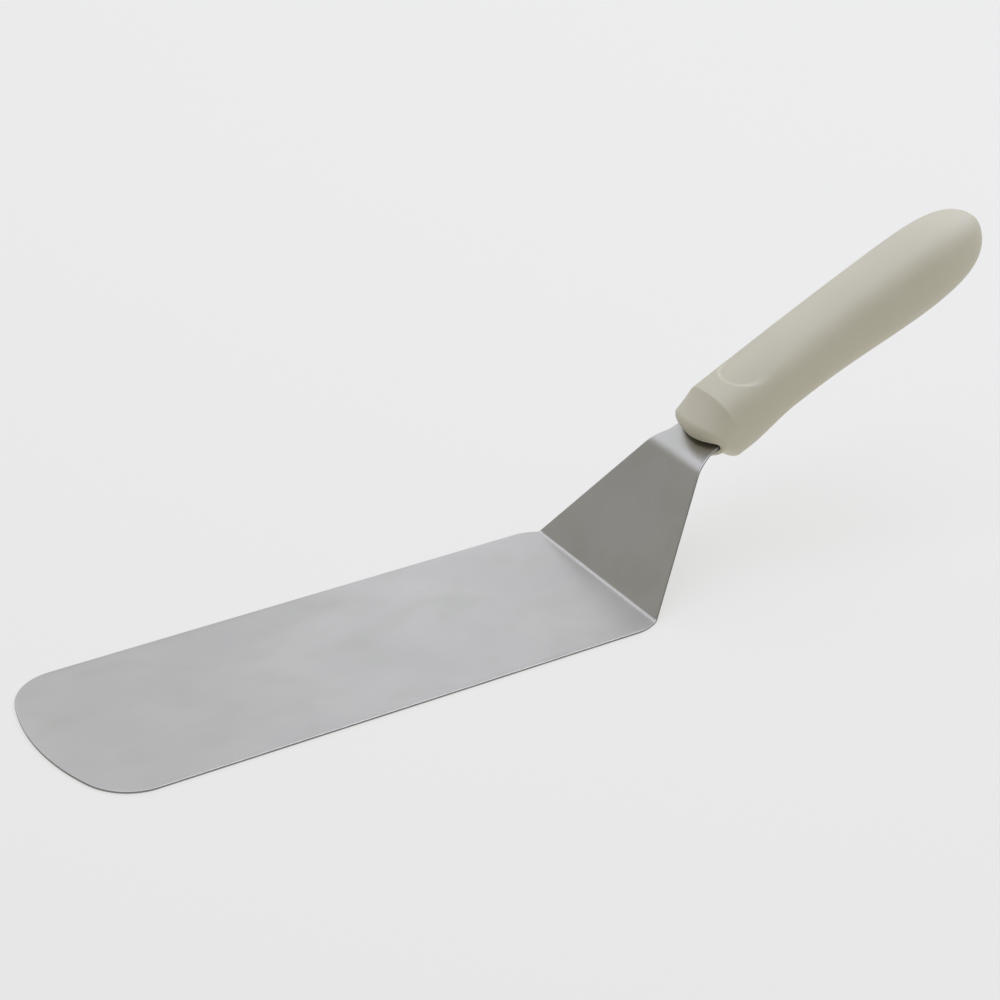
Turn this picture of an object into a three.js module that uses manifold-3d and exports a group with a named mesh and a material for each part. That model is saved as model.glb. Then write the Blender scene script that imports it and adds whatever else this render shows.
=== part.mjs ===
// Offset spatula: a stamped stainless blade, cranked up at the heel, in a moulded plastic handle.
// Millimetres, +Z up. The blade lies flat on z = 0 with its tip towards -X and the handle towards +X,
// and the object is mirrored about y = 0. The origin is the bottom centre of the whole object's box.

import * as THREE from "three";
import Module from "manifold-3d";
import { mergeVertices } from "three/addons/utils/BufferGeometryUtils.js";

const wasm = await Module();
wasm.setup();

// Sheet: lengths along the sheet, widths across it.
const SHEET = 0.8;
const BLADE_LENGTH = 210;
const BLADE_WIDTH = 73;
const TIP_SAGITTA = 10.4; // how far the end edge bows out over the full width
const TIP_CORNER = 19;
const HEEL_ANGLE = THREE.MathUtils.degToRad(53.1);
const HEEL_RADIUS = 2.4; // bend radii are at the middle of the sheet
const RISER_LENGTH = 49.9;
const RISER_HALF = 34.2; // half width that the tapering edges would have at the heel
const RISER_TAPER = 0.414; // half width lost for each millimetre up the riser
const SHOULDER_RADIUS = 16;
const HANDLE_ANGLE = THREE.MathUtils.degToRad(25.2);
const NECK_RADIUS = 10.5;
const NECK_WIDTH = 21.6;
const NECK_FILLET = 12;
const TANG_LENGTH = 100; // from the neck bend's corner to the tang's end
const TANG_END_WIDTH = 16;
const TANG_END_CORNER = 4;
const TANG_HOLE = 7;
const TANG_HOLES = [35, 60, 85]; // distances from the neck bend's corner

// Handle: lengths along its own axis, from the front of its nose.
const HANDLE_LENGTH = 133;
const HANDLE_HALF = 13;
const SECTION_POWER = 2.4; // 2 is an ellipse, more is squarer
const AXIS_ABOVE_TANG = 1.65;
const NOSE_SETBACK = 5.8; // front of the nose, past the neck bend's corner
const NOSE_LENGTH = 13;
const NOSE_DROP_TOP = 4.3;
const NOSE_DROP_SIDE = 1.1;
const NOSE_DOME = 0.4; // how much the nose's top is domed: 0 is a straight slope
const NOSE_BOTTOM = 6.8;
const NOSE_BOW = 4.8; // how far the sides of the nose's front lie behind its middle
const LIP_SLANT = 0.25; // how far the front face leans back for each millimetre down to the tang
const CHIN_SLANT = 0.25; // how far it comes forward again for each millimetre below the tang
const EDGE_ROUND = 2.7; // at the top and bottom of the front
const EDGE_ROUND_SIDE = 0.8;
const TOP_HEIGHT = 11.5;
const TOP_CROWN = 1.3;
const CROWN_AT = 65.5;
const GUARD_DEPTH = 14.7;
const GROOVE_DEPTH = 11.5;
const BELLY_DEPTH = 16.1;
const GUARD_SPAN = [4.5, 12.5];
const GROOVE_SPAN = [17, 38.3];
const BELLY_SPAN = [46.5, 106];
const END_LENGTH = 62;
const END_POWER = 6.3;
const CLEARANCE = 0.3; // between the tang and the plastic
const MOUTH_HALF = 11.3;
const MOUTH_HEIGHT = 4;
const MOUTH_DEPTH = 9;

// Mesh fineness.
const ARC_STEPS = 8;
const BEND_STEPS = 6;
const RING_SIDES = 40;
const BODY_STEPS = 18;
const EDGE_STEPS = 4;
const NOSE_STEPS = 5;
const END_STEPS = 9;

const smoothStep = (value, [start, end]) => THREE.MathUtils.smoothstep(value, start, end);

// ---- meshes and solids

function geometryOf(positions, triangles) {
  const geometry = new THREE.BufferGeometry();
  geometry.setAttribute("position", new THREE.Float32BufferAttribute(positions, 3));
  geometry.setIndex(triangles);
  return geometry;
}

function solidOf(geometry) {
  const bare = geometry.clone();
  bare.deleteAttribute("normal");
  bare.deleteAttribute("uv");
  const merged = mergeVertices(bare, 1e-4);
  const mesh = new wasm.Mesh({
    numProp: 3,
    vertProperties: new Float32Array(merged.attributes.position.array),
    triVerts: new Uint32Array(merged.index.array),
  });
  return new wasm.Manifold(mesh);
}

function geometryOfSolid(solid) {
  const mesh = solid.getMesh();
  const geometry = geometryOf(Array.from(mesh.vertProperties), Array.from(mesh.triVerts));
  geometry.computeVertexNormals();
  return geometry;
}

// Joins rings of points, all with the same count, into one closed skin. The two ends are closed by a
// fan to a point each.
function loft(rings, startPoint, endPoint) {
  const sides = rings[0].length;
  const points = [...rings.flat(), startPoint, endPoint];
  const startIndex = rings.length * sides;
  const endIndex = startIndex + 1;
  const lastRing = (rings.length - 1) * sides;
  const triangles = [];
  for (let side = 0; side < sides; side += 1) {
    const next = (side + 1) % sides;
    triangles.push(startIndex, next, side);
    triangles.push(endIndex, lastRing + side, lastRing + next);
    for (let ring = 0; ring < rings.length - 1; ring += 1) {
      const here = ring * sides;
      const ahead = here + sides;
      triangles.push(here + side, here + next, ahead + next);
      triangles.push(here + side, ahead + next, ahead + side);
    }
  }
  return geometryOf(points.flatMap((point) => point.toArray()), triangles);
}

// ---- the sheet

// The side view of the sheet's middle, as straight runs and bends from the tip to the tang's end.
function sheetRuns() {
  const neckTurn = HANDLE_ANGLE - HEEL_ANGLE;
  const heelTangent = HEEL_RADIUS * Math.tan(HEEL_ANGLE / 2);
  const neckTangent = NECK_RADIUS * Math.tan(-neckTurn / 2);
  return [
    { length: BLADE_LENGTH - heelTangent, turn: 0 },
    { length: HEEL_RADIUS * HEEL_ANGLE, turn: HEEL_ANGLE },
    { length: RISER_LENGTH - heelTangent - neckTangent, turn: 0 },
    { length: -NECK_RADIUS * neckTurn, turn: neckTurn },
    { length: TANG_LENGTH - neckTangent, turn: 0 },
  ];
}

const RUNS = sheetRuns();
const SHEET_LENGTH = RUNS.reduce((sum, run) => sum + run.length, 0);
const HEEL_AT = RUNS[0].length + RUNS[1].length / 2;
const NECK_AT = SHEET_LENGTH - RUNS[4].length - RUNS[3].length / 2;

// Place and slope of the sheet's middle at a distance along it from the tip.
function sheetFrame(distance) {
  let x = -BLADE_LENGTH;
  let z = SHEET / 2;
  let slope = 0;
  let left = distance;
  for (const run of RUNS) {
    const step = Math.min(left, run.length);
    const turn = run.turn * (step / run.length);
    const chord = turn === 0 ? step : (2 * step * Math.sin(turn / 2)) / turn;
    x += chord * Math.cos(slope + turn / 2);
    z += chord * Math.sin(slope + turn / 2);
    slope += turn;
    left -= step;
  }
  return { x, z, slope };
}

// Points of an arc that rounds the corner between two straight edges of the outline.
function filletPoints(before, corner, after, radius) {
  const back = before.clone().sub(corner).normalize();
  const ahead = after.clone().sub(corner).normalize();
  const half = back.angleTo(ahead) / 2;
  const centre = back.clone().add(ahead).setLength(radius / Math.sin(half)).add(corner);
  const start = back.clone().multiplyScalar(radius / Math.tan(half)).add(corner).sub(centre);
  const sweep = (Math.PI - 2 * half) * Math.sign(back.cross(ahead));
  const points = [];
  for (let step = 0; step <= ARC_STEPS; step += 1) {
    const turned = start.clone().rotateAround(new THREE.Vector2(), (-sweep * step) / ARC_STEPS);
    points.push(turned.add(centre));
  }
  return points;
}

// The bowed end edge and the tip corner: two arcs that meet tangentially.
function tipPoints() {
  const half = BLADE_WIDTH / 2;
  const bow = (half ** 2 + TIP_SAGITTA ** 2) / (2 * TIP_SAGITTA);
  const offset = half - TIP_CORNER;
  const meet = Math.asin(offset / (bow - TIP_CORNER));
  const cornerAt = bow - (bow - TIP_CORNER) * Math.cos(meet);
  const points = [];
  for (let step = 1; step <= ARC_STEPS; step += 1) {
    const angle = (meet * step) / ARC_STEPS;
    points.push(new THREE.Vector2(bow - bow * Math.cos(angle), bow * Math.sin(angle)));
  }
  for (let step = 1; step <= ARC_STEPS; step += 1) {
    const angle = meet + ((Math.PI / 2 - meet) * step) / ARC_STEPS;
    const along = cornerAt - TIP_CORNER * Math.cos(angle);
    points.push(new THREE.Vector2(along, offset + TIP_CORNER * Math.sin(angle)));
  }
  return points;
}

// Half of the flat blank's outline: x is the distance from the tip, y the half width there.
function blankOutline() {
  const half = BLADE_WIDTH / 2;
  const shoulder = new THREE.Vector2(HEEL_AT + (RISER_HALF - half) / RISER_TAPER, half);
  const neckHalf = NECK_WIDTH / 2;
  const neck = new THREE.Vector2(HEEL_AT + (RISER_HALF - neckHalf) / RISER_TAPER, neckHalf);
  const tangStart = new THREE.Vector2(NECK_AT + TANG_HOLES[0] / 2, neckHalf);
  const tangEnd = new THREE.Vector2(SHEET_LENGTH, TANG_END_WIDTH / 2);
  const tip = tipPoints();
  return [
    ...tip,
    ...filletPoints(tip.at(-1), shoulder, neck, SHOULDER_RADIUS),
    ...filletPoints(shoulder, neck, tangStart, NECK_FILLET),
    tangStart,
    ...filletPoints(tangStart, tangEnd, new THREE.Vector2(SHEET_LENGTH, 0), TANG_END_CORNER),
  ];
}

function widthAt(outline, distance) {
  const next = Math.max(1, outline.findIndex((point) => point.x >= distance));
  const from = outline[next - 1];
  const to = outline[next];
  return THREE.MathUtils.mapLinear(distance, from.x, to.x, from.y, to.y);
}

// The outline's own points, with more of them through the two bends.
function blankStations() {
  const outline = blankOutline();
  const stations = [...outline];
  let start = 0;
  for (const run of RUNS) {
    for (let step = 0; run.turn !== 0 && step <= BEND_STEPS; step += 1) {
      const distance = start + (run.length * step) / BEND_STEPS;
      stations.push(new THREE.Vector2(distance, widthAt(outline, distance)));
    }
    start += run.length;
  }
  return stations.sort((a, b) => a.x - b.x);
}

function sheetGeometry() {
  const rings = blankStations().map((station) => {
    const { x, z, slope } = sheetFrame(station.x);
    const up = new THREE.Vector3(-Math.sin(slope), 0, Math.cos(slope)).multiplyScalar(SHEET / 2);
    const middle = new THREE.Vector3(x, 0, z);
    const corners = [[1, -1], [1, 1], [-1, 1], [-1, -1]];
    return corners.map(([side, level]) => {
      const corner = middle.clone().addScaledVector(up, level);
      return corner.setY(side * station.y);
    });
  });
  const middleOf = (ring) => ring[0].clone().add(ring[2]).multiplyScalar(0.5);
  return loft(rings, middleOf(rings[0]), middleOf(rings.at(-1)));
}

// A round bar square to the tang, at a distance from the neck bend's corner.
function tangBar(distance, diameter, length) {
  const bar = new THREE.CylinderGeometry(diameter / 2, diameter / 2, length, 24);
  bar.rotateX(Math.PI / 2);
  bar.translate(distance, 0, 0);
  return bar;
}

// Where the tang's straight part would start, at the neck bend's corner, lined up with the handle.
function tangPlacement() {
  const corner = new THREE.Vector3(
    RISER_LENGTH * Math.cos(HEEL_ANGLE),
    0,
    SHEET / 2 + RISER_LENGTH * Math.sin(HEEL_ANGLE),
  );
  return new THREE.Matrix4().makeRotationY(-HANDLE_ANGLE).setPosition(corner);
}

function bladeGeometry() {
  let blade = solidOf(sheetGeometry());
  for (const distance of TANG_HOLES) {
    const drill = tangBar(distance, TANG_HOLE, 10 * SHEET).applyMatrix4(tangPlacement());
    blade = blade.subtract(solidOf(drill));
  }
  return geometryOfSolid(blade);
}

// ---- the handle, in its own frame: x along it, z up, y = 0 the middle

function topHeight(along) {
  const nose = THREE.MathUtils.clamp(1 - along / NOSE_LENGTH, 0, 1);
  const crown = TOP_CROWN * (1 - ((along - CROWN_AT) / END_LENGTH) ** 2);
  return TOP_HEIGHT + crown - NOSE_DROP_TOP * nose * (1 + NOSE_DOME * (1 - nose));
}

function bottomDepth(along) {
  const guard = (GUARD_DEPTH - NOSE_BOTTOM) * smoothStep(along, GUARD_SPAN);
  const groove = (GROOVE_DEPTH - GUARD_DEPTH) * smoothStep(along, GROOVE_SPAN);
  const belly = (BELLY_DEPTH - GROOVE_DEPTH) * smoothStep(along, BELLY_SPAN);
  return NOSE_BOTTOM + guard + groove + belly;
}

// Only the nose's upper half narrows towards the front.
function sideWidth(along, angle) {
  const nose = THREE.MathUtils.clamp(1 - along / NOSE_LENGTH, 0, 1);
  return HANDLE_HALF - NOSE_DROP_SIDE * nose * Math.max(0, Math.sin(angle));
}

// The rounded end shrinks every section by this share.
function endShare(along) {
  const end = THREE.MathUtils.clamp((along - HANDLE_LENGTH + END_LENGTH) / END_LENGTH, 0, 1);
  return Math.sqrt(1 - end ** END_POWER);
}

// How far a point is set back, so that the nose's front is bowed in plan, leans back from its top
// edge to the tang and comes forward again below it.
function setBack(along, across, height) {
  const share = Math.max(0, 1 - along / NOSE_LENGTH);
  const bow = NOSE_BOW * (across / HANDLE_HALF) ** 2;
  const lip = LIP_SLANT * (topHeight(along) - Math.max(height, 0));
  const chin = CHIN_SLANT * Math.max(-height, 0);
  return share * (bow + lip - chin);
}

// A point of the skin; inset draws it in towards the axis.
function skinPoint(along, angle, inset) {
  const share = endShare(along);
  const round = (value) => Math.sign(value) * Math.abs(value) ** (2 / SECTION_POWER);
  const across = round(Math.cos(angle)) * (sideWidth(along, angle) * share - inset);
  const lower = along + setBack(along, across, -NOSE_BOTTOM);
  const reach = Math.sin(angle) > 0 ? topHeight(along) : bottomDepth(lower);
  const height = round(Math.sin(angle)) * (reach * share - inset);
  return new THREE.Vector3(along + setBack(along, across, height), across, height);
}

// A ring of the skin at a distance along the handle. Within the rounded front edge, turn goes from 0
// on the front face to a quarter turn at the edge's end.
function handleRing(along, turn = Math.PI / 2) {
  const ring = [];
  for (let step = 0; step < RING_SIDES; step += 1) {
    const angle = (2 * Math.PI * step) / RING_SIDES;
    const radius = THREE.MathUtils.lerp(EDGE_ROUND_SIDE, EDGE_ROUND, Math.abs(Math.sin(angle)));
    const start = radius * (1 - Math.cos(turn));
    const share = Math.max(0, 1 - along / NOSE_LENGTH);
    const inset = radius * (1 - Math.sin(turn));
    ring.push(skinPoint(along + share * start, angle, inset));
  }
  return ring;
}

// Distances along the handle behind the rounded front edge.
function handleStations() {
  const stations = [];
  for (let step = 1; step <= NOSE_STEPS; step += 1) {
    stations.push((NOSE_LENGTH * step) / NOSE_STEPS);
  }
  const bodyEnd = HANDLE_LENGTH - END_LENGTH / 2;
  for (let step = 1; step <= BODY_STEPS; step += 1) {
    stations.push(THREE.MathUtils.lerp(NOSE_LENGTH, bodyEnd, step / BODY_STEPS));
  }
  // Equal turns round the end: the share there falls as a cosine.
  const first = Math.asin(0.5 ** (END_POWER / 2));
  for (let step = 1; step < END_STEPS; step += 1) {
    const angle = THREE.MathUtils.lerp(first, Math.PI / 2, step / END_STEPS);
    const along = Math.sin(angle) ** (2 / END_POWER) * END_LENGTH;
    stations.push(HANDLE_LENGTH - END_LENGTH + along);
  }
  return stations;
}

function handleSkin() {
  const rings = handleStations().map((along) => handleRing(along));
  for (let step = EDGE_STEPS; step >= 0; step -= 1) {
    rings.unshift(handleRing(0, ((Math.PI / 2) * step) / EDGE_STEPS));
  }
  const frontMiddle = new THREE.Vector3(setBack(0, 0, 0), 0, 0);
  const endMiddle = new THREE.Vector3(HANDLE_LENGTH, 0, 0);
  return loft(rings, frontMiddle, endMiddle);
}

// An outline in plan, given as half widths along x, made into a plate of a height about z = 0.
function plateGeometry(halves, height) {
  const mirrored = halves.toReversed().map(([x, y]) => [x, -y]);
  const shape = new THREE.Shape([...halves, ...mirrored].map(([x, y]) => new THREE.Vector2(x, y)));
  const plate = new THREE.ExtrudeGeometry(shape, { depth: height, bevelEnabled: false });
  return plate.translate(0, 0, -height / 2);
}

// The socket that the tang fills, with the plastic that runs through the tang's holes left standing.
function socketSolid() {
  const width = NECK_WIDTH / 2 + CLEARANCE;
  const endWidth = TANG_END_WIDTH / 2 + CLEARANCE;
  const tangEnd = TANG_LENGTH + CLEARANCE;
  const halves = [[0, width], [TANG_HOLES[0] / 2, width], [tangEnd, endWidth]];
  let socket = solidOf(plateGeometry(halves, SHEET + 2 * CLEARANCE));
  for (const distance of TANG_HOLES) {
    const peg = tangBar(distance, TANG_HOLE - 2 * CLEARANCE, 10 * SHEET);
    socket = socket.subtract(solidOf(peg));
  }
  return socket;
}

// The oval slot at the front, taller than the sheet.
function mouthSolid() {
  const oval = new THREE.Shape().absellipse(0, 0, MOUTH_HALF, MOUTH_HEIGHT / 2, 0, 2 * Math.PI);
  const length = NOSE_SETBACK + MOUTH_DEPTH;
  const prism = new THREE.ExtrudeGeometry(oval, { depth: length, bevelEnabled: false });
  // The oval's width turns from x to y, and its depth from z to x.
  prism.rotateX(Math.PI / 2);
  prism.rotateZ(Math.PI / 2);
  return solidOf(prism);
}

function handleGeometry() {
  const skin = handleSkin().translate(NOSE_SETBACK, 0, AXIS_ABOVE_TANG);
  const cut = solidOf(skin).subtract(socketSolid()).subtract(mouthSolid());
  return geometryOfSolid(cut);
}

// ---- materials and assembly

const stainless = new THREE.MeshStandardMaterial({ color: 0xb9babb, roughness: 0.35, metalness: 1 });
const polypropylene = new THREE.MeshStandardMaterial({ color: 0xe4e0d4, roughness: 0.45, metalness: 0 });

function namedMesh(name, geometry, material) {
  const mesh = new THREE.Mesh(geometry, material);
  mesh.name = name;
  return mesh;
}

const spatula = new THREE.Group();
const blade = namedMesh("blade", bladeGeometry(), stainless);
const handle = namedMesh("handle", handleGeometry(), polypropylene);
handle.applyMatrix4(tangPlacement());
spatula.add(blade, handle);

// The box's bottom centre goes to the origin. The blade already lies on z = 0.
const box = new THREE.Box3().setFromObject(spatula, true);
spatula.position.x = -(box.min.x + box.max.x) / 2;

export default spatula;
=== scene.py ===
"""Offset spatula: a satin stainless blade, cranked up at the heel, in an off-white moulded handle.

Shapes are worked out in millimetres and become metres when a mesh is made. The frame is the row's own:
+Z up, the blade flat on z = 0 with its tip towards -X, and everything mirrored about y = 0.
"""

import math

import bmesh
import bpy
from mathutils import Matrix, Vector


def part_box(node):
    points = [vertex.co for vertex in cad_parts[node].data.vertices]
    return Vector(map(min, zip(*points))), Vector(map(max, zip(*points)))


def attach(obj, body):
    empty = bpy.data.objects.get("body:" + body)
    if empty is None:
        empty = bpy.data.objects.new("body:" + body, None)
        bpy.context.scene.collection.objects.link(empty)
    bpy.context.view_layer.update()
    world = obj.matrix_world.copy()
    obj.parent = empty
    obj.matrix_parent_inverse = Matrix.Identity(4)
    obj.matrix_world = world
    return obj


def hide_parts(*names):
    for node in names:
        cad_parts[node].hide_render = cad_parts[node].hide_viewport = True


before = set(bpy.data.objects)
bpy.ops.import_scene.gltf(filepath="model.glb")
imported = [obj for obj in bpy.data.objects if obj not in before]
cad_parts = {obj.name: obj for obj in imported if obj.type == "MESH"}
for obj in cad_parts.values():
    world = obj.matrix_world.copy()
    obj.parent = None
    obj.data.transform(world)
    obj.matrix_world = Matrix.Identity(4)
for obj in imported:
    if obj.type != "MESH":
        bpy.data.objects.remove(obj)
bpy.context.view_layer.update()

MM = 0.001

# ---- driving dimensions, in millimetres

blade_low, blade_high = (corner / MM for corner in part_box("blade"))
handle_low, handle_high = (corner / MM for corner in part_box("handle"))

# The sheet: lengths along it, widths across it.
SHEET = 0.8
SHEET_EDGE = 0.22  # radius that the stamped edges are tumbled to
EDGE_SHADE_BELOW = 0.5  # upward share of a normal that only the cut edge falls below; painted shade darkens what falls below it
BLADE_LENGTH = 210
BLADE_WIDTH = blade_high.y - blade_low.y
TIP_SAGITTA = 10.4
TIP_CORNER = 19
HEEL_ANGLE = math.radians(53.1)
HEEL_RADIUS = 2.4
RISER_LENGTH = 49.9
RISER_HALF = 34.2  # half width that the tapering edges would have at the heel
RISER_TAPER = 0.414  # half width lost for each millimetre up the riser
SHOULDER_RADIUS = 16
HANDLE_ANGLE = math.radians(25.2)
NECK_RADIUS = 10.5
NECK_WIDTH = 21.6
NECK_FILLET = 12
TANG_LENGTH = 100
TANG_END_WIDTH = 16
TANG_END_SAGITTA = 0.6
TANG_END_CORNER = 4
TANG_HOLE = 7
TANG_HOLES = (35, 60, 85)  # distances from the neck bend's corner
CUTTER_LENGTH = 10 * SHEET  # of the bars that drill the holes and stand as pegs

# The handle: lengths along its own axis, from the front of its nose.
HANDLE_LENGTH = 133
HANDLE_HALF = (handle_high.y - handle_low.y) / 2
SECTION_POWER = 2.4  # 2 is an ellipse, more is squarer
AXIS_ABOVE_TANG = 1.65
NOSE_SETBACK = 5.8
NOSE_LENGTH = 13  # from the front to the ring edge
NOSE_DROP_TOP = 4.3
NOSE_DROP_SIDE = 1.1
NOSE_DOME = 0.4  # how much the nose's top is domed: 0 is a straight slope
NOSE_BOTTOM = 6.8
NOSE_BOW = 4.8  # how far the sides of the nose's front lie behind its middle
RING_SWEEP = 6.5  # how far the ring edge runs forward where it dies out at mid height
RING_FADE = 0.22  # sine of the section angle under which it runs forward
LIP_SLANT = 0.25  # how far the front leans back for each millimetre down to the tang
CHIN_SLANT = 0.25  # how far it comes forward again for each millimetre below the tang
EDGE_ROUND = 2.7  # at the top and bottom of the front
EDGE_ROUND_SIDE = 0.8
TOP_HEIGHT = 11.5
TOP_CROWN = 1.3
CROWN_AT = 65.5
GUARD_DEPTH = 14.7
GROOVE_DEPTH = 11.5
BELLY_DEPTH = 16.1
GUARD_SPAN = (4.5, 12.5)
GROOVE_SPAN = (17, 38.3)
BELLY_SPAN = (46.5, 106)
END_LENGTH = 62
END_POWER = 6.3
CLEARANCE = 0.3  # between the tang and the plastic
SOCKET_LEAD = 1  # straight start of the socket, which lies inside the mouth
MOUTH_HALF = 11.3
MOUTH_HEIGHT = 4
MOUTH_POWER = 4  # 2 is an ellipse, more is squarer
MOUTH_END = 16.3  # its back wall, from the front of the nose
MOUTH_RIM = 0.3  # radius of its rounded rim

# The thumb rest in the top of the handle: an oval scoop with a crisp lip at the front and sides.
REST_FRONT = 20  # the thumb rest's lip, at the middle of the handle
REST_HALF = 11.3
REST_REACH = 14.5  # from the lip's front to where its sides have run straight
REST_FADE = (24, 54)  # where the rest's floor rises back to the handle's top
REST_DEPTH = 0.9  # on either side of the middle
REST_LIP = 0.07  # how far in the step goes at the front, as a share of the rest's half width
REST_BLEND = 0.6  # the same where the lip has died away
REST_MIDDLE = 0.4  # depth in the middle, as a share of the depth on either side
REST_SIDES = (0, 7)  # distances from the middle over which the depth grows

# ---- fineness of the meshes

STEP_ALONG = 1.5
BLADE_ACROSS = 36
EDGE_STEPS = 6
ARC_STEPS = 36
BEND_STEPS = 20
RING_SIDES = 240
BAR_SIDES = 64
BODY_STEP = 0.7
REST_STEP = 0.35
NOSE_STEPS = 30
RIM_STEPS = 6
END_STEPS = 60
STOP_GAP = 0.001  # closest that a bend stop may come to a corner of the outline
MERGE_WITHIN = 1e-7  # metres


def clamp(value, low=0.0, high=1.0):
    return max(low, min(high, value))


def mix(start, end, share):
    return start + (end - start) * share


def smooth_step(value, span):
    share = clamp((value - span[0]) / (span[1] - span[0]))
    return share * share * (3 - 2 * share)


# ---- meshes


def mesh_object(name, points, faces, placement=Matrix.Identity(4)):
    """A smooth-shaded object from points in millimetres; placement takes them to the row frame."""
    mesh = bpy.data.meshes.new(name)
    mesh.from_pydata([placement @ Vector(point) * MM for point in points], [], faces)
    work = bmesh.new()
    work.from_mesh(mesh)
    bmesh.ops.remove_doubles(work, verts=work.verts, dist=MERGE_WITHIN)
    bmesh.ops.recalc_face_normals(work, faces=work.faces)
    for face in work.faces:
        face.smooth = True
    work.to_mesh(mesh)
    work.free()
    piece = bpy.data.objects.new(name, mesh)
    bpy.context.scene.collection.objects.link(piece)
    return piece


def loft_faces(rings, sides):
    """Quads between rings of points that all have the same count."""
    faces = []
    for ring in range(rings - 1):
        here = ring * sides
        ahead = here + sides
        for side in range(sides):
            following = (side + 1) % sides
            faces.append((here + side, here + following, ahead + following, ahead + side))
    return faces


def fan_faces(tip, first, sides):
    """Triangles from one point to a ring that starts at the index first."""
    return [(tip, first + side, first + (side + 1) % sides) for side in range(sides)]


def round_bar(name, diameter, placement):
    """A bar along the placement's z axis, used only to cut with."""
    bar = bpy.data.meshes.new(name)
    work = bmesh.new()
    bmesh.ops.create_cone(
        work,
        cap_ends=True,
        segments=BAR_SIDES,
        radius1=diameter / 2 * MM,
        radius2=diameter / 2 * MM,
        depth=CUTTER_LENGTH * MM,
    )
    work.to_mesh(bar)
    work.free()
    placed = placement.copy()
    placed.translation = placed.translation * MM
    bar.transform(placed)
    piece = bpy.data.objects.new(name, bar)
    bpy.context.scene.collection.objects.link(piece)
    return piece


def cut(piece, cutter):
    """Takes the cutter's volume out of the piece and deletes the cutter."""
    boolean = piece.modifiers.new("cut", "BOOLEAN")
    boolean.object = cutter
    boolean.operation = "DIFFERENCE"
    boolean.solver = "EXACT"
    graph = bpy.context.evaluated_depsgraph_get()
    result = bpy.data.meshes.new_from_object(piece.evaluated_get(graph))
    piece.modifiers.clear()
    piece.data = result
    bpy.data.objects.remove(cutter)


# ---- the sheet


def sheet_runs():
    """The side view of the sheet's middle, as straight runs and bends: (length, turn) from the tip."""
    neck_turn = HANDLE_ANGLE - HEEL_ANGLE
    heel_tangent = HEEL_RADIUS * math.tan(HEEL_ANGLE / 2)
    neck_tangent = NECK_RADIUS * math.tan(-neck_turn / 2)
    return [
        (BLADE_LENGTH - heel_tangent, 0),
        (HEEL_RADIUS * HEEL_ANGLE, HEEL_ANGLE),
        (RISER_LENGTH - heel_tangent - neck_tangent, 0),
        (-NECK_RADIUS * neck_turn, neck_turn),
        (TANG_LENGTH - neck_tangent, 0),
    ]


RUNS = sheet_runs()
SHEET_LENGTH = sum(length for length, turn in RUNS)
HEEL_AT = RUNS[0][0] + RUNS[1][0] / 2
NECK_AT = SHEET_LENGTH - RUNS[4][0] - RUNS[3][0] / 2


def sheet_point(distance, across, level):
    """A point at a distance along the sheet, across it, and at a level above its middle."""
    x, z, slope = blade_low.x, SHEET / 2, 0.0
    left = distance
    for length, run_turn in RUNS:
        step = min(left, length)
        turn = run_turn * step / length
        chord = 2 * step * math.sin(turn / 2) / turn if turn else step
        x += chord * math.cos(slope + turn / 2)
        z += chord * math.sin(slope + turn / 2)
        slope += turn
        left -= step
    return (x - level * math.sin(slope), across, z + level * math.cos(slope))


def end_points(half, sagitta, corner):
    """A bowed end edge and its corner, two arcs that meet tangentially: (distance in, half width)."""
    bow = (half**2 + sagitta**2) / (2 * sagitta)
    offset = half - corner
    meet = math.asin(offset / (bow - corner))
    corner_at = bow - (bow - corner) * math.cos(meet)
    points = []
    for step in range(ARC_STEPS + 1):
        angle = meet * step / ARC_STEPS
        points.append((bow - bow * math.cos(angle), bow * math.sin(angle)))
    for step in range(1, ARC_STEPS + 1):
        angle = mix(meet, math.pi / 2, step / ARC_STEPS)
        points.append((corner_at - corner * math.cos(angle), offset + corner * math.sin(angle)))
    return points


def fillet_points(before, corner, after, radius):
    """An arc that rounds the corner between two straight edges of the outline."""
    before, corner, after = Vector(before), Vector(corner), Vector(after)
    back = (before - corner).normalized()
    ahead = (after - corner).normalized()
    half = back.angle(ahead) / 2
    middle = (back + ahead).normalized() * radius / math.sin(half)
    start = back * radius / math.tan(half) - middle
    sweep = (math.pi - 2 * half) * math.copysign(1, back.cross(ahead))
    turns = (Matrix.Rotation(-sweep * step / ARC_STEPS, 2) for step in range(ARC_STEPS + 1))
    return [tuple(corner + middle + turn @ start) for turn in turns]


def blank_outline():
    """Half of the flat blank's outline, dense along straight edges and through the two bends."""
    half = BLADE_WIDTH / 2
    neck_half = NECK_WIDTH / 2
    shoulder = (HEEL_AT + (RISER_HALF - half) / RISER_TAPER, half)
    neck = (HEEL_AT + (RISER_HALF - neck_half) / RISER_TAPER, neck_half)
    tang_start = (NECK_AT + TANG_HOLES[0] / 2, neck_half)
    tip = end_points(half, TIP_SAGITTA, TIP_CORNER)
    tang_end = end_points(TANG_END_WIDTH / 2, TANG_END_SAGITTA, TANG_END_CORNER)
    corners = [
        *tip,
        *fillet_points(tip[-1], shoulder, neck, SHOULDER_RADIUS),
        *fillet_points(shoulder, neck, tang_start, NECK_FILLET),
        tang_start,
        *((SHEET_LENGTH - inward, width) for inward, width in reversed(tang_end)),
    ]
    stops = bend_stops()
    outline = [corners[0]]
    for start, end in zip(corners, corners[1:]):
        pieces = max(1, math.ceil((end[0] - start[0]) / STEP_ALONG))
        inner = [mix(start[0], end[0], step / pieces) for step in range(1, pieces)]
        inner += [stop for stop in stops if start[0] + STOP_GAP < stop < end[0] - STOP_GAP]
        for distance in sorted(inner):
            share = (distance - start[0]) / (end[0] - start[0])
            outline.append((distance, mix(start[1], end[1], share)))
        outline.append(end)
    return outline


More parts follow.
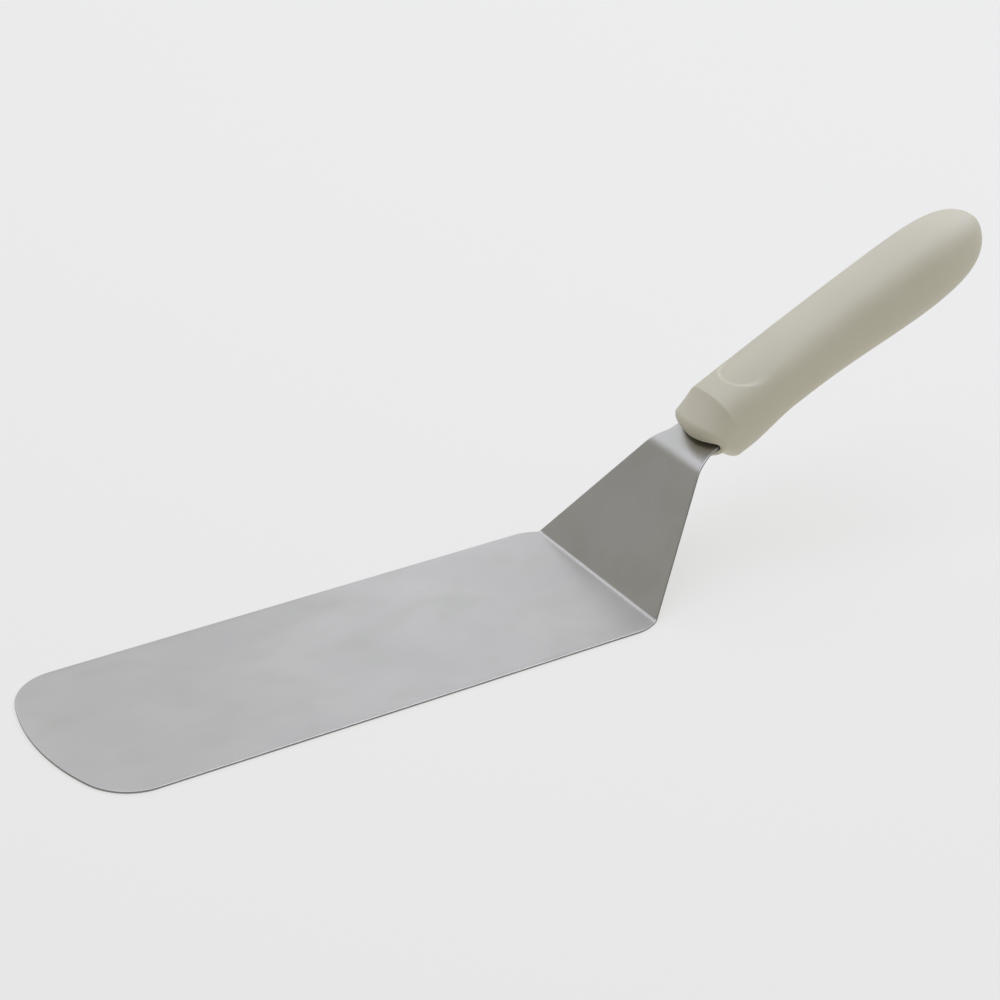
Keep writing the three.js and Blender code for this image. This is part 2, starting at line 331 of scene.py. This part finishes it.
def bend_stops():
    """Distances from the tip that follow the two bends closely."""
    stops = []
    start = 0
    for length, turn in RUNS:
        if turn:
            stops += [start + length * step / BEND_STEPS for step in range(BEND_STEPS + 1)]
        start += length
    return stops


def outline_normal(outline, index):
    """Outward direction in the flat blank. The two ends face straight along it."""
    if index == 0:
        return (-1.0, 0.0)
    if index == len(outline) - 1:
        return (1.0, 0.0)
    before, after = outline[index - 1], outline[index + 1]
    along, across = after[0] - before[0], after[1] - before[1]
    length = math.hypot(along, across)
    return (-across / length, along / length)


def edge_profile():
    """The rounded edge from the top face to the bottom one: (distance inwards, level)."""
    flat = SHEET / 2 - SHEET_EDGE
    profile = []
    for centre, first in ((flat, math.pi / 2), (-flat, 0)):
        for step in range(EDGE_STEPS + 1):
            angle = first - math.pi / 2 * step / EDGE_STEPS
            inward = SHEET_EDGE * (1 - math.cos(angle))
            profile.append((inward, centre + SHEET_EDGE * math.sin(angle)))
    return profile


def sheet_ring(place, normal, profile):
    """One closed ring: across the top face, round one edge, back under and round the other edge."""

    def edge_point(inward, level, side):
        distance = place[0] - normal[0] * inward
        return distance, side * max(0, place[1] - normal[1] * inward), level

    near = [edge_point(inward, level, -1) for inward, level in profile]
    far = [edge_point(inward, level, 1) for inward, level in profile]

    def row(start, end):
        shares = (step / BLADE_ACROSS for step in range(1, BLADE_ACROSS))
        return [(start[0], mix(start[1], end[1], share), start[2]) for share in shares]

    return [*row(near[0], far[0]), *far, *row(far[-1], near[-1]), *reversed(near)]


def mark_painted_edge_shade(mesh):
    """Marks the sheet's cut edge, which stands upright everywhere, for the painted shade that darkens
    it.
    """
    values = [float(abs(vertex.normal.z) < EDGE_SHADE_BELOW) for vertex in mesh.vertices]
    mesh.attributes.new("painted_edge_shade", "FLOAT", "POINT").data.foreach_set("value", values)


def blade_piece():
    outline = blank_outline()
    profile = edge_profile()
    points = []
    for index, place in enumerate(outline):
        ring = sheet_ring(place, outline_normal(outline, index), profile)
        points += [sheet_point(*point) for point in ring]
    sides = len(points) // len(outline)
    blade = mesh_object("spatula_blade", points, loft_faces(len(outline), sides))
    # Marks the cut edge for the painted shade in the steel.
    mark_painted_edge_shade(blade.data)
    for distance in TANG_HOLES:
        placement = tang_placement() @ Matrix.Translation((distance, 0, 0))
        cut(blade, round_bar("drill", TANG_HOLE, placement))
    return blade


def tang_placement():
    """The handle's frame at the neck bend's corner: x along the tang, z square to it."""
    corner = Vector((
        blade_low.x + BLADE_LENGTH + RISER_LENGTH * math.cos(HEEL_ANGLE),
        0,
        SHEET / 2 + RISER_LENGTH * math.sin(HEEL_ANGLE),
    ))
    return Matrix.Translation(corner) @ Matrix.Rotation(-HANDLE_ANGLE, 4, "Y")


# ---- the handle, in its own frame: x along it, z up


def nose_share(along, sine):
    """From 0 at the ring edge to 1 at the front. The edge runs forward and dies out at mid height."""
    return clamp(1 - along / ring_edge(sine))


def ring_edge(sine):
    """Where the nose's top and bottom slopes end, at a given sine of the section angle."""
    return NOSE_LENGTH - RING_SWEEP * (1 - clamp(sine / RING_FADE)) ** 2


def top_height(along, sine=1.0):
    share = nose_share(along, sine)
    crown = TOP_CROWN * (1 - ((along - CROWN_AT) / END_LENGTH) ** 2)
    return TOP_HEIGHT + crown - NOSE_DROP_TOP * share * (1 + NOSE_DOME * (1 - share))


def bottom_depth(along):
    guard = (GUARD_DEPTH - NOSE_BOTTOM) * smooth_step(along, GUARD_SPAN)
    groove = (GROOVE_DEPTH - GUARD_DEPTH) * smooth_step(along, GROOVE_SPAN)
    belly = (BELLY_DEPTH - GROOVE_DEPTH) * smooth_step(along, BELLY_SPAN)
    return NOSE_BOTTOM + guard + groove + belly


def side_width(along, sine):
    return HANDLE_HALF - NOSE_DROP_SIDE * nose_share(along, sine) * max(0, sine)


def end_share(along):
    """The rounded end shrinks every section by this share."""
    end = clamp((along - HANDLE_LENGTH + END_LENGTH) / END_LENGTH)
    return math.sqrt(1 - end**END_POWER)


def set_back(along, across, height):
    """The nose's front is bowed in plan, leans back down to the tang and comes forward below it."""
    share = max(0, 1 - along / NOSE_LENGTH)
    lip = LIP_SLANT * (top_height(along) - max(height, 0))
    chin = CHIN_SLANT * min(height, 0)
    return share * (NOSE_BOW * (across / HANDLE_HALF) ** 2 + lip + chin)


def rest_depth(along, across):
    """Depth of the thumb rest: a crisp lip at its front, and running out softly at the back."""
    past = (along - REST_FRONT) / REST_REACH
    within = 1 - math.hypot(max(1 - past, 0), across / REST_HALF)
    step = mix(REST_LIP, REST_BLEND, clamp(past) ** 2)
    side = mix(REST_MIDDLE, 1, smooth_step(abs(across), REST_SIDES))
    floor = REST_DEPTH * side * (1 - smooth_step(along, REST_FADE))
    return floor * smooth_step(within, (0, step))


def section_point(along, angle, inset=0.0):
    """A point of the skin; inset draws it in towards the axis, as the rounded front edge does."""
    sine, cosine = math.sin(angle), math.cos(angle)
    power = 2 / SECTION_POWER
    share = end_share(along)
    if sine > 0:
        height = sine**power * (top_height(along, sine) * share - inset)
    else:
        lower = along + set_back(along, HANDLE_HALF * cosine, -NOSE_BOTTOM)
        height = -((-sine) ** power) * (bottom_depth(lower) * share - inset)
    reach = math.copysign(abs(cosine) ** power, cosine)
    across = reach * (side_width(along, sine) * share - inset)
    if sine > 0 and inset == 0:
        height -= rest_depth(along, across)
    return Vector((along + set_back(along, across, height), across, height))


def edge_radius(angle):
    return mix(EDGE_ROUND_SIDE, EDGE_ROUND, abs(math.sin(angle)))


def front_edge_ring(turn):
    """The rounded front edge; turn goes from 0 on the front face to a quarter turn on the nose."""
    ring = []
    for angle in ring_angles():
        radius = edge_radius(angle)
        along = radius * (1 - math.cos(turn))
        ring.append(section_point(along, angle, radius * (1 - math.sin(turn))))
    return ring


def ring_angles():
    return [2 * math.pi * side / RING_SIDES for side in range(RING_SIDES)]


def mouth_point(angle, grow):
    """The oval slot at the front, grown by a margin, on the front face that leans back."""
    sine, cosine = math.sin(angle), math.cos(angle)
    power = 2 / MOUTH_POWER
    across = (MOUTH_HALF + grow) * math.copysign(abs(cosine) ** power, cosine)
    height = (MOUTH_HEIGHT / 2 + grow) * math.copysign(abs(sine) ** power, sine) - AXIS_ABOVE_TANG
    return Vector((set_back(0, across, height), across, height))


def mouth_rings():
    """From the back wall out to the front face: the wall, then the rounded rim."""
    rings = []
    for step in range(RIM_STEPS + 1):
        share = step / RIM_STEPS
        ring = []
        for angle in ring_angles():
            rim = mouth_point(angle, 0)
            start = Vector((MOUTH_END, rim.y, rim.z))
            ring.append(start.lerp(rim + Vector((MOUTH_RIM, 0, 0)), share))
        rings.append(ring)
    for step in range(1, RIM_STEPS + 1):
        turn = math.pi / 2 * step / RIM_STEPS
        inward = Vector((MOUTH_RIM * (1 - math.sin(turn)), 0, 0))
        grow = MOUTH_RIM * (1 - math.cos(turn))
        rings.append([mouth_point(angle, grow) + inward for angle in ring_angles()])
    return rings


def front_face_rings():
    """Between the mouth's rim and the rounded front edge."""
    outer = front_edge_ring(0)
    rings = []
    for step in range(1, RIM_STEPS):
        ring = []
        for angle, edge in zip(ring_angles(), outer):
            rim = mouth_point(angle, MOUTH_RIM)
            point = rim.lerp(edge, step / RIM_STEPS)
            point.x = set_back(0, point.y, point.z)
            ring.append(point)
        rings.append(ring)
    return rings


def body_stops():
    """Places along the handle behind the nose, closer together through the thumb rest."""
    body_end = HANDLE_LENGTH - END_LENGTH / 2
    stops = []
    along = NOSE_LENGTH
    while along < body_end:
        close = along < REST_FRONT + REST_REACH
        along += REST_STEP if close else BODY_STEP
        stops.append(along)
    return stops


def end_stops():
    """Equal turns round the butt: the share there falls as a cosine."""
    body_end = body_stops()[-1] - HANDLE_LENGTH + END_LENGTH
    first = math.asin((body_end / END_LENGTH) ** (END_POWER / 2))
    stops = []
    for step in range(1, END_STEPS):
        angle = mix(first, math.pi / 2, step / END_STEPS)
        stops.append(HANDLE_LENGTH - END_LENGTH + math.sin(angle) ** (2 / END_POWER) * END_LENGTH)
    return stops


def nose_rings():
    """From the rounded edge to the ring edge, then on to where the rings are square to the axis."""
    rings = []
    for step in range(1, NOSE_STEPS + 1):
        share = step / NOSE_STEPS
        ring = []
        for angle in ring_angles():
            along = mix(edge_radius(angle), ring_edge(math.sin(angle)), share)
            ring.append(section_point(along, angle))
        rings.append(ring)
    return rings


def body_rings():
    """Behind the ring edge the rings soon become square to the axis."""
    rings = []
    for stop in [*body_stops(), *end_stops()]:
        ring = []
        for angle in ring_angles():
            lag = ring_edge(math.sin(angle)) - NOSE_LENGTH
            fade = clamp(1 - (stop - NOSE_LENGTH) / NOSE_LENGTH)
            ring.append(section_point(stop + lag * fade, angle))
        rings.append(ring)
    return rings


def handle_skin():
    rings = [*mouth_rings(), *front_face_rings()]
    for step in range(RIM_STEPS + 1):
        rings.append(front_edge_ring(math.pi / 2 * step / RIM_STEPS))
    rings += [*nose_rings(), *body_rings()]
    points = [point for ring in rings for point in ring]
    points.append(Vector((MOUTH_END, 0, -AXIS_ABOVE_TANG)))
    points.append(Vector((HANDLE_LENGTH, 0, 0)))
    last_ring = (len(rings) - 1) * RING_SIDES
    faces = [
        *loft_faces(len(rings), RING_SIDES),
        *fan_faces(len(points) - 2, 0, RING_SIDES),
        *fan_faces(len(points) - 1, last_ring, RING_SIDES),
    ]
    return points, faces


def socket_cutter():
    """The space that the tang fills, with the plastic that runs through its holes left standing."""
    width = NECK_WIDTH / 2 + CLEARANCE
    end_width = TANG_END_WIDTH / 2 + CLEARANCE
    tang_end = TANG_LENGTH + CLEARANCE
    taper_from = TANG_HOLES[0] / 2
    halves = [(taper_from - SOCKET_LEAD, width), (taper_from, width), (tang_end, end_width)]
    plan = halves + [(x, -y) for x, y in reversed(halves)]
    half_height = SHEET / 2 + CLEARANCE
    count = len(plan)
    points = [(x, y, level) for level in (-half_height, half_height) for x, y in plan]
    sides = [(i, (i + 1) % count, (i + 1) % count + count, i + count) for i in range(count)]
    faces = [*sides, tuple(range(count)), tuple(range(count, 2 * count))]
    socket = mesh_object("socket", points, faces, tang_placement())
    for distance in TANG_HOLES:
        placement = tang_placement() @ Matrix.Translation((distance, 0, 0))
        cut(socket, round_bar("peg", TANG_HOLE - 2 * CLEARANCE, placement))
    return socket


def handle_piece():
    points, faces = handle_skin()
    placement = tang_placement() @ Matrix.Translation((NOSE_SETBACK, 0, AXIS_ABOVE_TANG))
    handle = mesh_object("spatula_handle", points, faces, placement)
    cut(handle, socket_cutter())
    return handle


# ---- materials


def new_material(name):
    material = bpy.data.materials.new(name)
    material.use_nodes = True
    nodes = material.node_tree.nodes
    return material, nodes, material.node_tree.links, nodes["Principled BSDF"]


def noise(nodes, links, vector, scale, detail, stretch=(1, 1, 1)):
    """Noise in object space, in features per metre, stretched along the axes."""
    mapping = nodes.new("ShaderNodeMapping")
    mapping.inputs["Scale"].default_value = stretch
    links.new(vector, mapping.inputs["Vector"])
    texture = nodes.new("ShaderNodeTexNoise")
    texture.inputs["Scale"].default_value = scale
    texture.inputs["Detail"].default_value = detail
    links.new(mapping.outputs["Vector"], texture.inputs["Vector"])
    return texture.outputs["Fac"]


def ranged(nodes, links, value, low, high, source=(0.3, 0.7)):
    """Maps a noise value to a range of another quantity."""
    node = nodes.new("ShaderNodeMapRange")
    node.inputs["From Min"].default_value = source[0]
    node.inputs["From Max"].default_value = source[1]
    node.inputs["To Min"].default_value = low
    node.inputs["To Max"].default_value = high
    links.new(value, node.inputs["Value"])
    return node.outputs["Result"]


def blended(nodes, links, factor, first, second):
    """A colour between two others, by a factor from 0 to 1."""
    node = nodes.new("ShaderNodeMix")
    node.data_type = "RGBA"
    links.new(factor, node.inputs["Factor"])
    for socket, colour in ((node.inputs["A"], first), (node.inputs["B"], second)):
        if isinstance(colour, tuple):
            socket.default_value = (*colour, 1)
        else:
            links.new(colour, socket)
    return node.outputs["Result"]


def bump(nodes, links, height, depth, normal=None):
    """A bump whose full height is a depth in metres."""
    node = nodes.new("ShaderNodeBump")
    node.inputs["Strength"].default_value = 1
    node.inputs["Distance"].default_value = depth
    links.new(height, node.inputs["Height"])
    if normal is not None:
        links.new(normal, node.inputs["Normal"])
    return node.outputs["Normal"]


# Steel: colours, with a painted shade for the cut edge, the ranges of its gloss, and its grain,
# clouding and smudges.
STEEL_DARKER = (0.53, 0.517, 0.505)
STEEL_LIGHTER = (0.58, 0.565, 0.545)
STEEL_SMUDGED = (0.5, 0.498, 0.455)
# Painted shade: the cut edge's darker colour stands in for the dark reflection it shows.
STEEL_EDGE_SHADE = (0.25, 0.25, 0.24)
STEEL_ROUGHNESS = (0.27, 0.33)
STEEL_ANISOTROPY = 0.4
STEEL_GRAIN = 2600  # features per metre, as in the other scales below
STEEL_GRAIN_STRETCH = (0.03, 1, 0.03)
STEEL_GRAIN_DEPTH = 0.000004  # metres, as in the other depths below
STEEL_CLOUDS = 26
STEEL_SMUDGES = 60
SMUDGE_STRETCH = (0.6, 1, 1)
SMUDGE_STRENGTH = 0.7
SMUDGE_FROM = (0.5, 0.72)  # noise values between which a smudge comes in


def satin_steel():
    """Stainless sheet with a fine grain along the blade, faint smudges and a cut edge darkened by
    painted shade.
    """
    material, nodes, links, shader = new_material("satin_steel")
    place = nodes.new("ShaderNodeTexCoord").outputs["Object"]
    grain = noise(nodes, links, place, STEEL_GRAIN, 2, STEEL_GRAIN_STRETCH)
    cloud = noise(nodes, links, place, STEEL_CLOUDS, 4)
    smudge = noise(nodes, links, place, STEEL_SMUDGES, 2, SMUDGE_STRETCH)
    mottle = blended(nodes, links, ranged(nodes, links, cloud, 0, 1), STEEL_DARKER, STEEL_LIGHTER)
    smudging = ranged(nodes, links, smudge, 0, SMUDGE_STRENGTH, SMUDGE_FROM)
    smudged = blended(nodes, links, smudging, mottle, STEEL_SMUDGED)
    # Painted shade: a darker colour on the cut edge, read from the marked attribute.
    painted_edge_shade = nodes.new("ShaderNodeAttribute")
    painted_edge_shade.attribute_name = "painted_edge_shade"
    colour = blended(nodes, links, painted_edge_shade.outputs["Fac"], smudged, STEEL_EDGE_SHADE)
    links.new(colour, shader.inputs["Base Color"])
    links.new(ranged(nodes, links, smudge, *STEEL_ROUGHNESS), shader.inputs["Roughness"])
    shader.inputs["Metallic"].default_value = 1
    shader.inputs["Anisotropic"].default_value = STEEL_ANISOTROPY
    across = nodes.new("ShaderNodeVectorTransform")
    across.vector_type = "VECTOR"
    across.convert_from = "OBJECT"
    across.convert_to = "WORLD"
    across.inputs["Vector"].default_value = (0, 1, 0)
    links.new(across.outputs["Vector"], shader.inputs["Tangent"])
    links.new(bump(nodes, links, grain, STEEL_GRAIN_DEPTH), shader.inputs["Normal"])
    return material


PLASTIC_DARKER = (0.6, 0.562, 0.444)
PLASTIC_LIGHTER = (0.63, 0.59, 0.474)
PLASTIC_ROUGHNESS = (0.46, 0.54)
PLASTIC_IOR = 1.5
PLASTIC_CLOUDS = 35
PLASTIC_GRAIN = 1800
PLASTIC_GRAIN_DEPTH = 0.000008
PLASTIC_WAVES = 90
PLASTIC_WAVE_DEPTH = 0.00006
GLOW_THROUGH = 0.15  # share of the light that scatters inside
GLOW_COLOUR = (1.0, 0.85, 0.6)
GLOW_DEPTH = 0.0012


def ivory_plastic():
    """Off-white polypropylene with a fine moulded grain and a soft, uneven gloss."""
    material, nodes, links, shader = new_material("ivory_plastic")
    place = nodes.new("ShaderNodeTexCoord").outputs["Object"]
    cloud = noise(nodes, links, place, PLASTIC_CLOUDS, 3)
    grain = noise(nodes, links, place, PLASTIC_GRAIN, 2)
    waves = noise(nodes, links, place, PLASTIC_WAVES, 2)
    clouding = ranged(nodes, links, cloud, 0, 1)
    colour = blended(nodes, links, clouding, PLASTIC_DARKER, PLASTIC_LIGHTER)
    links.new(colour, shader.inputs["Base Color"])
    links.new(ranged(nodes, links, cloud, *PLASTIC_ROUGHNESS), shader.inputs["Roughness"])
    shader.inputs["IOR"].default_value = PLASTIC_IOR
    shader.inputs["Subsurface Weight"].default_value = GLOW_THROUGH
    shader.inputs["Subsurface Radius"].default_value = GLOW_COLOUR
    shader.inputs["Subsurface Scale"].default_value = GLOW_DEPTH
    wavy = bump(nodes, links, waves, PLASTIC_WAVE_DEPTH)
    links.new(bump(nodes, links, grain, PLASTIC_GRAIN_DEPTH, wavy), shader.inputs["Normal"])
    return material


PAPER_GREY = 0.25
PAPER_ROUGHNESS = 0.9
PAPER_GLOW = 0.575
PAPER_GLOW_COLOUR = (1, 0.99, 0.965)


def floor_paper():
    """Matt pale paper, lit evenly from within as well."""
    material, _, _, shader = new_material("floor_paper")
    shader.inputs["Base Color"].default_value = (PAPER_GREY, PAPER_GREY, PAPER_GREY, 1)
    shader.inputs["Roughness"].default_value = PAPER_ROUGHNESS
    shader.inputs["Emission Color"].default_value = (*PAPER_GLOW_COLOUR, 1)
    shader.inputs["Emission Strength"].default_value = PAPER_GLOW
    return material


# ---- floor, light and camera

# In metres, as are the light and the camera.
FLOOR_SIZE = 40
FLOOR_GAP = 0.0001  # between the floor and the blade


def make_floor():
    """A wide square just under the blade."""
    half = FLOOR_SIZE / 2 / MM
    level = -FLOOR_GAP / MM
    corners = [(-half, -half, level), (half, -half, level), (half, half, level), (-half, half, level)]
    floor = mesh_object("floor", corners, [(0, 1, 2, 3)])
    floor.data.materials.append(floor_paper())


PANEL_AIM = Vector((0, 0, 0.05))
PANEL_DISTANCE = 1.5
PANEL_WIDTH = 0.9
PANEL_HEIGHT = 0.7
WORLD_COLOUR = (0.275, 0.262, 0.2)
NEUTRAL = (0.95, 1.0, 1.16)
COOL = (0.94, 1.0, 1.26)
# Direction from the object, radiance, which is what a panel shows to the scene, colour, and spread,
# which multiplies both sides of the panel.
PANELS = {
    "overhead": ((0, 0, 1), 1.5, COOL, 1.9),
    "right": ((0.65, 0, 0.75), 1.5, NEUTRAL, 1.6),
    "high_back": ((-0.05, 0.6, 0.8), 0.51, NEUTRAL, 1),
    "high_back_right": ((0.45, 0.55, 0.7), 0.27, NEUTRAL, 1),
    "back": ((0.3, 0.85, 0.45), 0.47, NEUTRAL, 1),
    "back_left": ((-0.15, 0.9, 0.52), 0.85, NEUTRAL, 1),
    "back_right": ((0.75, 0.75, 0.35), 0.385, NEUTRAL, 1),
    "left": ((-0.75, 0.65, 0.35), 0.2, COOL, 1),
}


def area_light(name, direction, radiance, colour, spread):
    """A soft panel that faces the object."""
    light = bpy.data.lights.new(name, "AREA")
    light.shape = "RECTANGLE"
    light.size = PANEL_WIDTH * spread
    light.size_y = PANEL_HEIGHT * spread
    light.energy = radiance * math.pi * light.size * light.size_y
    light.color = colour
    panel = bpy.data.objects.new(name, light)
    towards = Vector(direction).normalized()
    panel.location = PANEL_AIM + towards * PANEL_DISTANCE
    panel.rotation_euler = towards.to_track_quat("Z", "Y").to_euler()
    bpy.context.scene.collection.objects.link(panel)


def make_light():
    """Soft panels round the object, and a dim even surrounding."""
    world = bpy.data.worlds.new("studio")
    world.use_nodes = True
    background = world.node_tree.nodes["Background"]
    background.inputs["Color"].default_value = (*WORLD_COLOUR, 1)
    background.inputs["Strength"].default_value = 1
    bpy.context.scene.world = world
    for name, settings in PANELS.items():
        area_light(name, *settings)


CAMERA_AZIMUTH = math.radians(-35.68)
CAMERA_ELEVATION = math.radians(29.37)
CAMERA_ROLL = math.radians(3.38)
CAMERA_DISTANCE = 0.9795
CAMERA_AIM = Vector((-0.0151, 0, 0.0418))
CAMERA_LENS = 108  # millimetres, as is the sensor's width
CAMERA_SENSOR = 36


def make_camera():
    """At the viewing angle of the object, looking at a point near its middle."""
    camera = bpy.data.objects.new("camera", bpy.data.cameras.new("camera"))
    camera.data.lens = CAMERA_LENS
    camera.data.sensor_width = CAMERA_SENSOR
    turn = (
        Matrix.Rotation(CAMERA_AZIMUTH, 4, "Z")
        @ Matrix.Rotation(math.pi / 2 - CAMERA_ELEVATION, 4, "X")
        @ Matrix.Rotation(CAMERA_ROLL, 4, "Z")
    )
    back = turn.to_3x3() @ Vector((0, 0, 1))
    camera.matrix_world = Matrix.Translation(CAMERA_AIM + back * CAMERA_DISTANCE) @ turn
    bpy.context.scene.collection.objects.link(camera)
    bpy.context.scene.camera = camera
    bpy.context.scene.view_settings.view_transform = "Standard"


# ---- assembly


def assemble():
    blade = blade_piece()
    blade.data.materials.append(satin_steel())
    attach(blade, "root")
    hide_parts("blade")

    handle = handle_piece()
    handle.data.materials.append(ivory_plastic())
    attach(handle, "root")
    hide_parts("handle")


assemble()
make_floor()
make_light()
make_camera()
